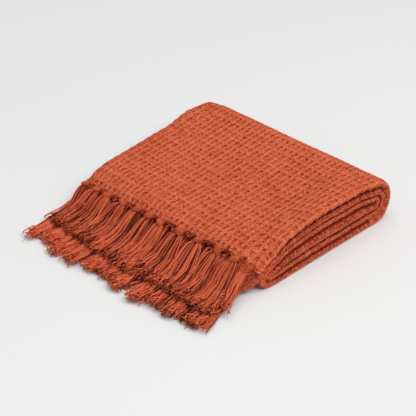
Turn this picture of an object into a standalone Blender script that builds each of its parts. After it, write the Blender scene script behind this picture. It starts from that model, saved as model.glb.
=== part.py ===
"""Waffle weave cotton throw, folded into a low stack with its knotted fringe in front.

One sheet is folded twice across its width, half then half, into a four-ply band.  The
band is then folded back and forth along its length into six layers.  The closed folds
face +X, the selvages face -X, and both fringed ends lie over each other towards -Y.
Units are metres, +Z is up and the underside rests on z = 0.
"""
import math
import random

import bmesh
import bpy

MM = 0.001

# Four-ply band: widthwise section
STACK_WIDTH = 320 * MM
PLY_THICKNESS = 2.0 * MM
PLY_PITCH = 2.62 * MM
SELVAGE_INSET_TOP = 3.0 * MM
SELVAGE_INSET_INNER = 8.0 * MM
OUTER_FOLD_STEPS = 4
INNER_FOLD_STEPS = 3
WIDTH_STATIONS = (-160 * MM, -30 * MM, 120 * MM, 160 * MM)

# Six layers: lengthwise path, seen from the closed side
BAND_PITCH = 10.5 * MM
BAND_HALF = 1.5 * PLY_PITCH + PLY_THICKNESS / 2
BACK_NEST_Y = 97.5 * MM
FRONT_NEST_Y_CLOSED = -100 * MM
FRONT_NEST_Y_OPEN = -90 * MM
TOP_BAND_EASE = 0.5 * MM
LOOSE_BAND_SWELL = 5.0 * MM
LOOSE_BAND_ENDS = 34 * MM
LEVEL_STATIONS = (0.0, 0.18, 0.5, 0.82, 1.0)
LARGE_FOLD_STEPS = 7
SMALL_FOLD_STEPS = 4

# Overhang of the two fringed layers past the front nest, along the cloth
DRAPE_ANGLE = math.radians(50)
FLOOR_BEND_RADIUS = 14 * MM
FLOOR_CLEARANCE = 1.2 * MM
UPPER_OVERHANG_CLOSED = 27 * MM
UPPER_OVERHANG_OPEN = 52 * MM
LOWER_OVERHANG_CLOSED = 58 * MM
LOWER_OVERHANG_OPEN = 86 * MM
UPPER_DRAPE_STEPS = 4
LOWER_DRAPE_STEPS = 6

# The stack is pressed down towards its front, more on the open side.  The closed folds
# hold it up along their edge, and the middle sags a little.
PRESS_CLOSED = 0.22
PRESS_OPEN = 0.40
PRESS_START_Y_CLOSED = -15 * MM
PRESS_START_Y_OPEN = 98 * MM
PRESS_END_Y = -108 * MM
UNEVENNESS = 0.012
CLOSED_EDGE_X = 85 * MM
MIDDLE_SAG = 0.06
SAG_START_Y = 100 * MM
SAG_END_Y = -110 * MM

# The closed front corner droops
CORNER_DROOP = 0.34
CORNER_START_Y = -72 * MM
CORNER_END_Y = -126 * MM

# How far each layer's edges stand out on the closed side and on the open side
LAYER_JOG = {
    "A": (0.0, 0.0),
    "B": (0.5 * MM, -2.0 * MM),
    "C": (0.0, 1.0 * MM),
    "D": (2.0 * MM, -3.0 * MM),
    "E": (2.0 * MM, 0.5 * MM),
    "F": (3.5 * MM, 1.5 * MM),
}

# Fringe
CLOTH_TO_FRINGE = 0.8 * MM
BACKING_LENGTH = 3.0 * MM
TASSELS_PER_PLY = 11
LOCKS_PER_TASSEL = 4
TASSEL_PITCH = 27.0 * MM
FRONT_KNOT_WIDTH = 9.0 * MM
FRONT_SLOT = 9.6 * MM
BACK_ROOT_SHARE = 0.8

UPPER_TIER = {
    "rest": 10.5 * MM,
    "fall_closed": 66 * MM,
    "fall_open": 40 * MM,
    "tips": (-213 * MM, -216 * MM, -201 * MM),
    "slant": 17 * MM,
    "middle": -10 * MM,
    "top_ply": 0,
    "seed": 7,
}
LOWER_TIER = {
    "rest": 2.0 * MM,
    "fall_closed": 40 * MM,
    "fall_open": 30 * MM,
    "tips": (-255 * MM, -243 * MM, -227 * MM),
    "slant": 14 * MM,
    "middle": -4.2 * MM,
    "top_ply": 3,
    "seed": 23,
}

CLOTH_COLOUR = (0.50, 0.105, 0.045, 1.0)
FRINGE_COLOUR = (0.46, 0.092, 0.040, 1.0)
COTTON_ROUGHNESS = 0.92


def lerp(a, b, t):
    return a + (b - a) * t


def ease(t):
    t = min(max(t, 0.0), 1.0)
    return t * t * (3.0 - 2.0 * t)


def side_of(x):
    """0 at the open side (-X), 1 at the closed side (+X)."""
    return min(max(x / STACK_WIDTH + 0.5, 0.0), 1.0)


def held_up(x):
    """How far the closed folds hold the stack up: 0 away from them, 1 at their edge."""
    return ease((x - CLOSED_EDGE_X) / (STACK_WIDTH / 2 - CLOSED_EDGE_X))


def sag(x, y):
    u = min(max((SAG_START_Y - y) / (SAG_START_Y - SAG_END_Y), 0.0), 1.0)
    return MIDDLE_SAG * 4.0 * u * (1.0 - u) * (1.0 - (2.0 * x / STACK_WIDTH) ** 2)


def press(x, y):
    """Height factor of the pressed-down stack at one place."""
    held = held_up(x)
    start = lerp(PRESS_START_Y_OPEN, PRESS_START_Y_CLOSED, held)
    depth = lerp(PRESS_OPEN, PRESS_CLOSED, side_of(x))
    t = min(max((start - y) / (start - PRESS_END_Y), 0.0), 1.0)
    wave = math.sin(31.0 * x + 1.3) * math.sin(27.0 * y + 0.4)
    inner, outer = WIDTH_STATIONS[-2:]
    corner = ease((CORNER_START_Y - y) / (CORNER_START_Y - CORNER_END_Y))
    corner *= ease((x - inner) / (outer - inner))
    slope = 1.0 - depth * lerp(t, ease(t), 0.5 * held) - sag(x, y)
    return slope * (1.0 + UNEVENNESS * wave) * (1.0 - CORNER_DROOP * corner)


# ---------------------------------------------------------------- widthwise section

def fold(points, x, middle, radius, start_deg, turn_deg, steps):
    for i in range(steps + 1):
        a = math.radians(start_deg + turn_deg * i / steps)
        points.append((x + radius * math.cos(a), middle + radius * math.sin(a)))


def section_midline(roots=None):
    """Middle line of the four plies as (x, offset), selvage to selvage.

    roots holds, for each ply, the runs of x that its tassel roots are split at.
    """
    high = 1.5 * PLY_PITCH
    low = 0.5 * PLY_PITCH
    closed_x = STACK_WIDTH / 2 - high - PLY_THICKNESS / 2
    open_x = -STACK_WIDTH / 2 + low + PLY_THICKNESS / 2
    top_x = -STACK_WIDTH / 2 + SELVAGE_INSET_TOP
    inner_x = -STACK_WIDTH / 2 + SELVAGE_INSET_INNER
    roots = roots or [[], [], [], []]
    points = []

    def ply(x_from, x_to, offset, ply_roots):
        points.append((x_from, offset))
        stops = [x for x in WIDTH_STATIONS[1:-1] if not any(r[0] < x < r[-1] for r in ply_roots)]
        stops += [x for root in ply_roots for x in root]
        points.extend((x, offset) for x in sorted(stops, reverse=x_to < x_from))

    ply(top_x, closed_x, high, roots[0])
    fold(points, closed_x, 0.0, high, 90, -180, OUTER_FOLD_STEPS)
    ply_start = points.pop()[0]
    ply(ply_start, open_x, -high, roots[3])
    fold(points, open_x, -low * 2, low, 270, -180, INNER_FOLD_STEPS)
    points.pop()
    ply(open_x, closed_x, -low, roots[2])
    fold(points, closed_x, 0.0, low, 270, 180, INNER_FOLD_STEPS)
    points.pop()
    ply(closed_x, inner_x, low, roots[1])
    points.append((inner_x, low))
    return points


def section_outline(midline):
    """Both faces of the sheet: (x, offset, dx, doffset) lists, left face and right face."""
    left, right = [], []
    last = len(midline) - 1
    for i, (x, o) in enumerate(midline):
        x0, o0 = midline[max(i - 1, 0)]
        x1, o1 = midline[min(i + 1, last)]
        length = math.hypot(x1 - x0, o1 - o0)
        nx, no = -(o1 - o0) / length, (x1 - x0) / length
        half = PLY_THICKNESS / 2
        left.append((x, o, nx * half, no * half))
        right.append((x, o, -nx * half, -no * half))
    return left, right


# ---------------------------------------------------------------- lengthwise path

class Station:
    """One place on the path: centre, unit normal, unit direction, ply spread, layer jog."""

    def __init__(self, y, z, heading, spread, jog):
        self.y, self.z = y, z
        self.dy, self.dz = math.cos(heading), math.sin(heading)
        self.ny, self.nz = -self.dz, self.dy
        self.spread, self.jog = spread, jog


def level_height(layer, y, front_y, held):
    """Centre height of a layer on its level run, and its spread."""
    order = "FEDCBA".index(layer)
    z = BAND_HALF + order * BAND_PITCH
    swell = min(ease((y - front_y) / LOOSE_BAND_ENDS), ease((BACK_NEST_Y - y) / LOOSE_BAND_ENDS))
    swell *= LOOSE_BAND_SWELL * held
    if layer in "CBA":
        z += swell
    if layer == "D":
        z += swell / 2
    if layer == "A":
        z += TOP_BAND_EASE
    spread = 1.0 + (swell / (3 * PLY_PITCH) if layer == "D" else 0.0)
    return z, spread


def level_run(layer, front_y, forward, held):
    """Stations of a layer's level run, towards the back when forward is false."""
    heading = math.pi if forward else 0.0
    stations = []
    for t in LEVEL_STATIONS:
        y = lerp(front_y, BACK_NEST_Y, t)
        z, spread = level_height(layer, y, front_y, held)
        stations.append(Station(y, z, heading, spread, LAYER_JOG[layer]))
    return stations[::-1] if forward else stations


def turn(centre_y, centre_z, radius, start_deg, turn_deg, steps, jogs):
    """Stations of a fold between two layers, without its two end stations."""
    sign = math.copysign(1.0, turn_deg)
    stations = []
    for i in range(1, steps):
        t = i / steps
        a = math.radians(start_deg + turn_deg * t)
        y = centre_y + radius * math.cos(a)
        z = centre_z + radius * math.sin(a)
        jog = tuple(lerp(before, after, t) for before, after in zip(*jogs))
        stations.append(Station(y, z, a + sign * math.pi / 2, 1.0, jog))
    return stations


def drape_point(front_y, nest_z, radius, distance, floor_z):
    """Where a layer hanging over the front nest has come to, as (y, z, slope angle)."""
    bend = radius * DRAPE_ANGLE
    if distance <= bend:
        a = distance / radius
        return front_y - radius * math.sin(a), nest_z + radius * math.cos(a), a
    y = front_y - radius * math.sin(DRAPE_ANGLE)
    z = nest_z + radius * math.cos(DRAPE_ANGLE)
    bend_drop = FLOOR_BEND_RADIUS * (1.0 - math.cos(DRAPE_ANGLE))
    slide = (z - floor_z - bend_drop) / math.sin(DRAPE_ANGLE)
    rest = distance - bend
    straight = min(rest, slide)
    y -= straight * math.cos(DRAPE_ANGLE)
    z -= straight * math.sin(DRAPE_ANGLE)
    if rest <= slide:
        return y, z, DRAPE_ANGLE
    rest -= slide
    lift = min(rest / FLOOR_BEND_RADIUS, DRAPE_ANGLE)
    a = DRAPE_ANGLE - lift
    y -= FLOOR_BEND_RADIUS * (math.sin(DRAPE_ANGLE) - math.sin(a))
    z -= FLOOR_BEND_RADIUS * (math.cos(a) - math.cos(DRAPE_ANGLE))
    y -= max(rest - FLOOR_BEND_RADIUS * DRAPE_ANGLE, 0.0)
    return y, z, a


def drape(layer, front_y, overhang, steps):
    """Stations from the crest of the front nest out to a fringed end, crest left out."""
    nest_z = BAND_HALF + 1.5 * BAND_PITCH
    radius = level_height(layer, front_y, front_y, 0.0)[0] - nest_z
    stations = []
    for i in range(1, steps + 1):
        floor_z = BAND_HALF + FLOOR_CLEARANCE
        y, z, a = drape_point(front_y, nest_z, radius, overhang * i / steps, floor_z)
        stations.append(Station(y, z, math.pi + a, 1.0, LAYER_JOG[layer]))
    return stations


def reversed_heading(stations):
    out = []
    for s in reversed(stations):
        s.dy, s.dz, s.ny, s.nz = -s.dy, -s.dz, -s.ny, -s.nz
        out.append(s)
    return out


def path_at(x):
    """The whole lengthwise path at one width station, upper fringe end first."""
    side = side_of(x)
    front_y = lerp(FRONT_NEST_Y_OPEN, FRONT_NEST_Y_CLOSED, side)
    upper = lerp(UPPER_OVERHANG_OPEN, UPPER_OVERHANG_CLOSED, side)
    lower = lerp(LOWER_OVERHANG_OPEN, LOWER_OVERHANG_CLOSED, side)
    back_z = BAND_HALF + 2.5 * BAND_PITCH
    front_z = BAND_HALF + 1.5 * BAND_PITCH
    jog = LAYER_JOG
    held = held_up(x)
    path = reversed_heading(drape("A", front_y, upper, UPPER_DRAPE_STEPS))
    path += level_run("A", front_y, False, held)
    outer_radius = 2.5 * BAND_PITCH + TOP_BAND_EASE / 2
    outer_z = back_z + TOP_BAND_EASE / 2
    path += turn(BACK_NEST_Y, outer_z, outer_radius, 90, -180, LARGE_FOLD_STEPS, (jog["A"], jog["F"]))
    path += level_run("F", front_y, True, held)
    path += turn(front_y, front_z, 1.5 * BAND_PITCH, 270, -180, LARGE_FOLD_STEPS, (jog["F"], jog["C"]))
    path += level_run("C", front_y, False, held)
    path += turn(BACK_NEST_Y, back_z, 0.5 * BAND_PITCH, 90, -180, SMALL_FOLD_STEPS, (jog["C"], jog["D"]))
    path += level_run("D", front_y, True, held)
    path += turn(front_y, front_z, 0.5 * BAND_PITCH, 90, 180, SMALL_FOLD_STEPS, (jog["D"], jog["E"]))
    path += level_run("E", front_y, False, held)
    path += turn(BACK_NEST_Y, back_z, 1.5 * BAND_PITCH, 270, 180, LARGE_FOLD_STEPS, (jog["E"], jog["B"]))
    path += level_run("B", front_y, True, held)
    path += drape("B", front_y, lower, LOWER_DRAPE_STEPS)
    return path


def height_at(width_x, station, corner, along):
    """World y and z of a corner of the section, as if it lay at one width station."""
    reach = corner[1] * station.spread + corner[3]
    y = station.y + station.ny * reach + station.dy * along
    z = station.z + station.nz * reach + station.dz * along
    return y, z * press(width_x, y)


def place(corner, step, along=0.0):
    """World position of one corner of the section at a path step, moved along the path.

    The sheet is ruled straight between the width stations, so that whatever is laid on
    it with finer steps keeps its distance.
    """
    x, _, dx, _ = corner
    k = max(i for i in range(len(WIDTH_STATIONS) - 1) if i == 0 or WIDTH_STATIONS[i] <= x)
    low, high = WIDTH_STATIONS[k], WIDTH_STATIONS[k + 1]
    t = (x - low) / (high - low)
    y_low, z_low = height_at(low, PATHS[k][step], corner, along)
    y_high, z_high = height_at(high, PATHS[k + 1][step], corner, along)
    jog_closed, jog_open = PATHS[k][step].jog
    side = side_of(x)
    wide = x + dx + jog_closed * side - jog_open * (1.0 - side)
    return wide, lerp(y_low, y_high, t), lerp(z_low, z_high, t)


PATHS = [path_at(x) for x in WIDTH_STATIONS]


# ---------------------------------------------------------------- mesh helpers

class Shell:
    """Vertices and faces of one closed body, gathered ring by ring."""

    def __init__(self):
        self.points = []
        self.faces = []

    def ring(self, points):
        start = len(self.points)
        self.points.extend(points)
        return list(range(start, start + len(points)))

    def bridge(self, a, b):
        n = len(a)
        for i in range(n):
            j = (i + 1) % n
            self.faces.append((a[i], a[j], b[j], b[i]))

    def cap(self, left, right, skip=()):
        for i in range(len(left) - 1):
            if i not in skip:
                self.faces.append((left[i], left[i + 1], right[i + 1], right[i]))

    def to_object(self, name, colour):
        mesh = bpy.data.meshes.new(name)
        mesh.from_pydata(self.points, [], self.faces)
        face_outwards(mesh)
        obj = bpy.data.objects.new(name, mesh)
        bpy.context.scene.collection.objects.link(obj)
        mesh.materials.append(cotton(name, colour))
        mesh.shade_smooth()
        mesh.set_sharp_from_angle(angle=math.radians(50))
        return obj


def face_outwards(mesh):
    work = bmesh.new()
    work.from_mesh(mesh)
    bmesh.ops.recalc_face_normals(work, faces=work.faces)
    work.to_mesh(mesh)
    work.free()


def cotton(name, colour):
    material = bpy.data.materials.new(name + "_cotton")
    material.use_nodes = True
    shader = material.node_tree.nodes["Principled BSDF"]
    shader.inputs["Base Color"].default_value = colour
    shader.inputs["Roughness"].default_value = COTTON_ROUGHNESS
    shader.inputs["Metallic"].default_value = 0.0
    return material


# ---------------------------------------------------------------- cloth

def build_cloth():
    """The folded sheet: one four-ply section swept along the whole path."""
    left, right = section_outline(section_midline())
    corners = left + right[::-1]
    shell = Shell()
    rings = []
    for step in range(len(PATHS[0])):
        rings.append(shell.ring([place(corner, step) for corner in corners]))
    for a, b in zip(rings, rings[1:]):
        shell.bridge(a, b)
    count = len(left)
    for ring in (rings[0], rings[-1]):
        shell.cap(ring[:count], ring[count:][::-1])
    return shell.to_object("blanket_cloth", CLOTH_COLOUR)


# ---------------------------------------------------------------- fringe

def tassel_slots(middle):
    """x of every tassel's root on each ply: wide ones on the front ply, three behind."""
    back_slot = (TASSEL_PITCH - FRONT_SLOT) / 3
    first = middle - TASSEL_PITCH * (TASSELS_PER_PLY - 1) / 2
    slots = [[], [], [], []]
    for i in range(TASSELS_PER_PLY):
        x = first + i * TASSEL_PITCH
        slots[0].append(x)
        for j in range(3):
            slots[j + 1].append(x + FRONT_SLOT / 2 + back_slot * (j + 0.5))
    return slots, back_slot


class Tier:
    """One row of tassels: where it starts, falls and rests."""

    def __init__(self, settings, end_station, outward):
        self.settings = settings
        self.end_station = end_station
        self.outward = outward
        self.random = random.Random(settings["seed"])

    def start(self, x):
        along = self.outward * (CLOTH_TO_FRINGE + BACKING_LENGTH)
        return place((x, 0.0, 0.0, 0.0), self.end_station, along)

    def length(self, x):
        side = side_of(x)
        a, b, c = self.settings["tips"]
        tip = lerp(a, b, side * 2) if side < 0.5 else lerp(b, c, side * 2 - 1)
        return self.start(x)[1] - tip

    def centre(self, x, run_out, lift):
        """Centre and up direction of a tassel that starts at x, run_out further on."""
        s = self.settings
        _, y0, z0 = self.start(x)
        fall = lerp(s["fall_open"], s["fall_closed"], side_of(x))
        left_over = max(1.0 - run_out / fall, 0.0)
        z = s["rest"] + (z0 - s["rest"]) * left_over ** 2
        slope = -2.0 * (z0 - s["rest"]) * left_over / fall
        norm = math.hypot(slope, 1.0)
        up_y, up_z = slope / norm, 1.0 / norm
        drift = s["slant"] * ease(run_out / self.length(x))
        return x + drift, y0 - run_out + up_y * lift, z + up_z * lift, up_y, up_z

    def ring(self, shell, x, run_out, lift, shift, half_width, half_height, columns=1, roundness=0.45):
        """Top row then bottom row of points across a tassel or a lock."""
        cx, cy, cz, up_y, up_z = self.centre(x, run_out, lift)
        top, bottom = [], []
        for i in range(columns + 1):
            u = 2.0 * i / columns - 1.0
            h = half_height * (1.0 - roundness * u * u)
            px = cx + shift + half_width * u
            top.append((px, cy + up_y * h, cz + up_z * h))
            bottom.append((px, cy - up_y * h, cz - up_z * h))
        return shell.ring(top), shell.ring(bottom)


def bridge_rows(shell, a, b):
    """Join two (top row, bottom row) rings of a tassel."""
    shell.bridge(a[0] + a[1][::-1], b[0] + b[1][::-1])


def grow_back_tassel(shell, tier, root, x, shift):
    """A tassel of a ply behind the front one: neck, knot and one four-sided lock."""
    length = tier.length(x) - tier.random.uniform(0, 9) * MM
    rows = [
        (4.0 * MM, 0.0, 0.0, 2.0 * MM, 1.5 * MM),
        (8.0 * MM, 0.0, 0.0, 2.75 * MM, 2.0 * MM),
        (20.0 * MM, 0.0, shift * 0.8, 3.0 * MM, 1.6 * MM),
        (length * 0.6, 0.0, shift, 3.9 * MM, 1.8 * MM),
        (length, 0.0, shift, 3.4 * MM, 1.9 * MM),
    ]
    last = root
    for run_out, lift, sideways, half_width, half_height in rows:
        row = tier.ring(shell, x, run_out, lift, sideways, half_width, half_height, 1, 0.0)
        bridge_rows(shell, last, row)
        last = row
    shell.cap(last[0], last[1])


def grow_front_tassel(shell, tier, root, x):
    """A front tassel: neck, knot, then separate four-sided locks that fan out."""
    k = LOCKS_PER_TASSEL
    rows = [
        (3.5 * MM, 1.2 * MM, 3.2 * MM, 1.6 * MM),
        (7.5 * MM, 1.4 * MM, 4.4 * MM, 3.4 * MM),
        (12.0 * MM, 2.8 * MM, 3.2 * MM, 1.9 * MM),
    ]
    last = root
    for run_out, lift, half_width, half_height in rows:
        row = tier.ring(shell, x, run_out, lift, 0.0, half_width, half_height, k)
        bridge_rows(shell, last, row)
        last = row
    for j in range(k):
        place_in_fan = (2.0 * j + 1.0) / k - 1.0
        top = [last[0][j], last[0][j + 1]]
        bottom = [last[1][j], last[1][j + 1]]
        grow_lock(shell, tier, (top, bottom), x, place_in_fan)


def grow_lock(shell, tier, root, x, place_in_fan):
    """One lock of a front tassel, from the knot to its blunt tip."""
    length = tier.length(x) - tier.random.uniform(0, 7) * MM
    fan = TASSEL_PITCH / 2
    rows = [
        (17.0 * MM, 4.2 * MM, 0.50, 1.35 * MM, 1.2 * MM),
        (length * 0.55, 4.2 * MM, 0.92, 3.0 * MM, 1.5 * MM),
        (length, 4.2 * MM, 1.0, 2.9 * MM, 1.6 * MM),
    ]
    last = root
    for run_out, lift, spread, half_width, half_height in rows:
        shift = fan * spread * place_in_fan
        row = tier.ring(shell, x, run_out, lift, shift, half_width, half_height, 1, 0.0)
        bridge_rows(shell, last, row)
        last = row
    shell.cap(last[0], last[1])


def fringe_midline(slots, back_slot, top_ply):
    """Section with a segment for every tassel root, and which segments those are."""
    order = [0, 1, 2, 3] if top_ply == 0 else [3, 2, 1, 0]
    roots = [[], [], [], []]
    for rank, ply in enumerate(order):
        for x in slots[rank]:
            roots[ply].append(root_splits(x, rank, back_slot))
    return section_midline(roots), order


def root_splits(x, rank, back_slot):
    """x of the points across one tassel root."""
    columns = LOCKS_PER_TASSEL if rank == 0 else 1
    width = FRONT_KNOT_WIDTH if rank == 0 else back_slot * BACK_ROOT_SHARE
    return [x + width * (i / columns - 0.5) for i in range(columns + 1)]


def root_index(midline, x, offset):
    """Index of the section point that lies at x on the ply with this offset."""
    for i, (px, po) in enumerate(midline):
        if abs(px - x) < 1e-9 and abs(po - offset) < 1e-9:
            return i
    raise ValueError("no section point at this tassel root")


def root_rows(left, right, indices, top_is_left):
    top, bottom = (left, right) if top_is_left else (right, left)
    return [top[i] for i in indices], [bottom[i] for i in indices]


def build_fringe(name, settings, end_station, outward):
    """A narrow backing strip on the cloth's end line, with all its tassels grown out."""
    slots, back_slot = tassel_slots(settings["middle"])
    midline, order = fringe_midline(slots, back_slot, settings["top_ply"])
    left, right = section_outline(midline)
    tier = Tier(settings, end_station, outward)
    shell = Shell()
    corners = left + right[::-1]
    near = outward * CLOTH_TO_FRINGE
    far = outward * (CLOTH_TO_FRINGE + BACKING_LENGTH)
    first = shell.ring([place(corner, end_station, near) for corner in corners])
    second = shell.ring([place(corner, end_station, far) for corner in corners])
    shell.bridge(first, second)
    count = len(left)
    shell.cap(first[:count], first[count:][::-1])
    faces_left, faces_right = second[:count], second[count:][::-1]
    offsets = [1.5 * PLY_PITCH, 0.5 * PLY_PITCH, -0.5 * PLY_PITCH, -1.5 * PLY_PITCH]
    rooted = set()
    for rank, ply in enumerate(order):
        for x in slots[rank]:
            at = [root_index(midline, split, offsets[ply]) for split in root_splits(x, rank, back_slot)]
            rooted.update(min(a, b) for a, b in zip(at, at[1:]))
            top_is_left = root_is_upright(midline, at, settings)
            root = root_rows(faces_left, faces_right, at, top_is_left)
            if rank == 0:
                grow_front_tassel(shell, tier, root, x)
            else:
                shift = (rank - 2) * (TASSEL_PITCH / 3 - back_slot)
                grow_back_tassel(shell, tier, root, x, shift)
    shell.cap(faces_left, faces_right, rooted)
    return shell.to_object(name, FRINGE_COLOUR)


def root_is_upright(midline, at, settings):
    """True where the left face of the sheet looks up at this root."""
    toward_open = at[1] < at[0]
    flipped = settings["top_ply"] == 3
    return toward_open == flipped


def build_part():
    for obj in list(bpy.data.objects):
        bpy.data.objects.remove(obj, do_unlink=True)
    build_cloth()
    build_fringe("fringe_upper", UPPER_TIER, 0, -1.0)
    build_fringe("fringe_lower", LOWER_TIER, -1, 1.0)


build_part()
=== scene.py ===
"""Waffle weave cotton throw, folded with its knotted fringe in front: the dressed scene.

The sheet is laid on the same fold path as the CAD solid.  The parts of it that show are
fine patches with the waffle relief as real geometry, over one thin whole sheet that
closes the view between the layers.  The fringe is made of single yarns.
Units are metres, in the row frame: +X closed folds, -Y fringe, +Z up.
"""
import math

import bpy
import numpy as np
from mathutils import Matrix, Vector


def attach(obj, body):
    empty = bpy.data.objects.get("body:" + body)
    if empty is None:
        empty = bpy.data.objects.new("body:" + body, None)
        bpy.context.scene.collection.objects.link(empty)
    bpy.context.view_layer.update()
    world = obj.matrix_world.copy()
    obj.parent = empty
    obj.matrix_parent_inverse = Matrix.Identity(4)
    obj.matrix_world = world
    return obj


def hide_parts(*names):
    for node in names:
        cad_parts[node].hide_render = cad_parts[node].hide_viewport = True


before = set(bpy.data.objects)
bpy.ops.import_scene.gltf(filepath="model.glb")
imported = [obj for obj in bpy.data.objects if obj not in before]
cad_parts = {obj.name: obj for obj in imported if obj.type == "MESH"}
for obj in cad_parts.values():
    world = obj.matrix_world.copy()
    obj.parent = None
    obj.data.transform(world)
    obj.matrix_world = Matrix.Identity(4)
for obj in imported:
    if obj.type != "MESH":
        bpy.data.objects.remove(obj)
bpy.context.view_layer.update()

MM = 0.001
FULL_TURN = 6.28
rng = np.random.default_rng(11)

# ---------------------------------------------------------------- sizes, as in the CAD part
# Pairs are for the open side and for the closed folds

STACK_WIDTH = 320 * MM
PLY_THICKNESS = 2.0 * MM
PLY_PITCH = 2.62 * MM
SELVAGE_INSET_TOP = 3.0 * MM
SELVAGE_INSET_INNER = 8.0 * MM
BAND_PITCH = 10.5 * MM
BAND_HALF = 1.5 * PLY_PITCH + PLY_THICKNESS / 2
BACK_NEST_Y = 97.5 * MM
FRONT_NEST_Y_CLOSED = -100 * MM
FRONT_NEST_Y_OPEN = -90 * MM
TOP_BAND_EASE = 0.5 * MM
LOOSE_BAND_SWELL = 5.0 * MM
LOOSE_BAND_ENDS = 34 * MM
DRAPE_ANGLE = math.radians(50)
FLOOR_BEND_RADIUS = 14 * MM
FLOOR_CLEARANCE = 1.2 * MM
UPPER_OVERHANG = (52 * MM, 27 * MM)
LOWER_OVERHANG = (86 * MM, 58 * MM)
PRESS_DEPTH = (0.40, 0.22)
PRESS_START_Y = (98 * MM, -15 * MM)
PRESS_END_Y = -108 * MM
UNEVENNESS = 0.012
UNEVEN_ACROSS = (31.0, 1.3)
UNEVEN_ALONG = (27.0, 0.4)
CLOSED_EDGE_X = 85 * MM
MIDDLE_SAG = 0.06
SAG_START_Y = 100 * MM
SAG_END_Y = -110 * MM
CORNER_X = 120 * MM
CORNER_DROOP = 0.34
CORNER_START_Y = -72 * MM
CORNER_END_Y = -126 * MM
LAYER_JOG = {
    "A": (0.0, 0.0),
    "B": (0.5 * MM, -2.0 * MM),
    "C": (0.0, 1.0 * MM),
    "D": (2.0 * MM, -3.0 * MM),
    "E": (2.0 * MM, 0.5 * MM),
    "F": (3.5 * MM, 1.5 * MM),
}

# ---------------------------------------------------------------- sizes of the dressed cloth

# Waffle weave
CELL_ACROSS = 9.3 * MM
CELL_ALONG = 14.6 * MM
RIB_HALF = 1.8 * MM
RIB_RISE = 0.70 * MM
WEFT_RIB_SHARE = 0.85
CELL_DEPTH = 0.95 * MM
SHALLOW_BOWL = 0.34
DEEP_BOWL = 0.66
DEEP_HALF = 0.21
HALF_CELL_RISE = 0.35
HALF_CELL_AT = 0.42
HALF_CELL_WIDTH = 1.2 * MM
HOLE_AT = 0.77
HOLE_HALF = 1.30 * MM
HOLE_LAG = 0.03
YARN_GRAIN = 0.27 * MM
SLOW_RISE = 0.40 * MM
FIRM_EDGE = (1 * MM, 6 * MM)
SCALLOP = 1.3 * MM
SCALLOP_REACH = 9 * MM
LOWEST_CLOTH = 0.1 * MM

# Tone of the cloth, which picks its colour: 0.5 is plain. Painted light on the ribs, painted
# shade in the bowls, pits, folds and hem, and both on the yarn grain
PLAIN_TONE = 0.5
CELL_TONE = 0.45
RIB_PAINTED_LIGHT = 0.32
BOWL_PAINTED_SHADE = 0.06
HOLE_PAINTED_SHADE = 0.46
GRAIN_LIGHT_AND_SHADE = 0.25
FOLD_SHADE = 0.13
FOLD_SHADE_Y = (100 * MM, 8 * MM)
HEM_SHADE = 1.2

# Grids of the patches
GRID = 1.22 * MM
ROW_STEP = 1.0 * MM
FOLD_GRID = 0.8 * GRID
WIDTH_STATIONS = 17
LEVEL_STEPS = round((BACK_NEST_Y - FRONT_NEST_Y_CLOSED) / ROW_STEP)
LEAST_TURN_STEPS = 12
DRAPE_STEPS = (40, 72)
PATCH_MARGIN = 12
ROWS_PAST_THE_TOP = 12
ROWS_BEFORE_THE_DRAPE = 6
SELVAGE_TURN = (60, 30, 0, -30, -60)
SELVAGE_BULGE = 0.8
UV_PER_METRE = 10.0

# Whole thin sheet under the patches, painted dark as the shade between the layers
CORE_MIDDLE = -0.72 * MM
CORE_HALF = 0.2 * MM
CORE_SHADE_TONE = 0.22
CORE_END_SHADE = 0.4
CORE_END_LENGTH = 9 * MM
CORE_FLOOR = 0.3 * MM
CORE_COLUMN_STEP = 14
CORE_CLOSED_STEP = 4
CORE_CLOSED_X = 112 * MM
CORE_FOLD_STEP = 3
CORE_BEND = math.radians(14)
CORE_ROW_GAP = 12 * MM
CORE_FRONT_GAP = 4.0 * MM
CORE_FRONT_Y = -75 * MM

# The cloth's end between the knots: how far it is drawn in, and how it rolls over.
# Here and below, a name that ends in _MM is in millimetres.
HEM_DRAWN_MM = (1.0, 3.4)
HEM_DRAWN_OVER = 12 * MM
HEM_RAGGED = 0.7 * MM
HEM_ROLL = 2.4 * MM
HEM_FLAT = 5 * MM
HEM_ROLL_OVER = 1.2 * MM
HEM_SHADE_OVER = 1.0 * MM

# Where the stack is out of shape: place, reach, how far the cloth is moved, height of pleats
OUT_OF_SHAPE = {
    "tucked front corner": ((164 * MM, -160 * MM), 42 * MM, (-13 * MM, 8 * MM, 4 * MM), 1.6 * MM),
    "bulge of open side": ((-162 * MM, 62 * MM), 46 * MM, (-5 * MM, 0.0, 1.5 * MM), 0.0),
    "rounded back corner": ((-160 * MM, 126 * MM), 28 * MM, (2 * MM, -4 * MM, -1.5 * MM), 0.0),
}
PLEAT_PITCH = 9.5 * MM
PLEAT_LEAN = 0.05

# ---------------------------------------------------------------- sizes of the fringe

TASSELS_PER_PLY = 11
TASSEL_PITCH = 27.0 * MM
YARN_RADIUS = 0.77 * MM
FRONT_YARNS = 40
BACK_YARNS = 15
LOOSE_HALF = 8 * MM
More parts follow.
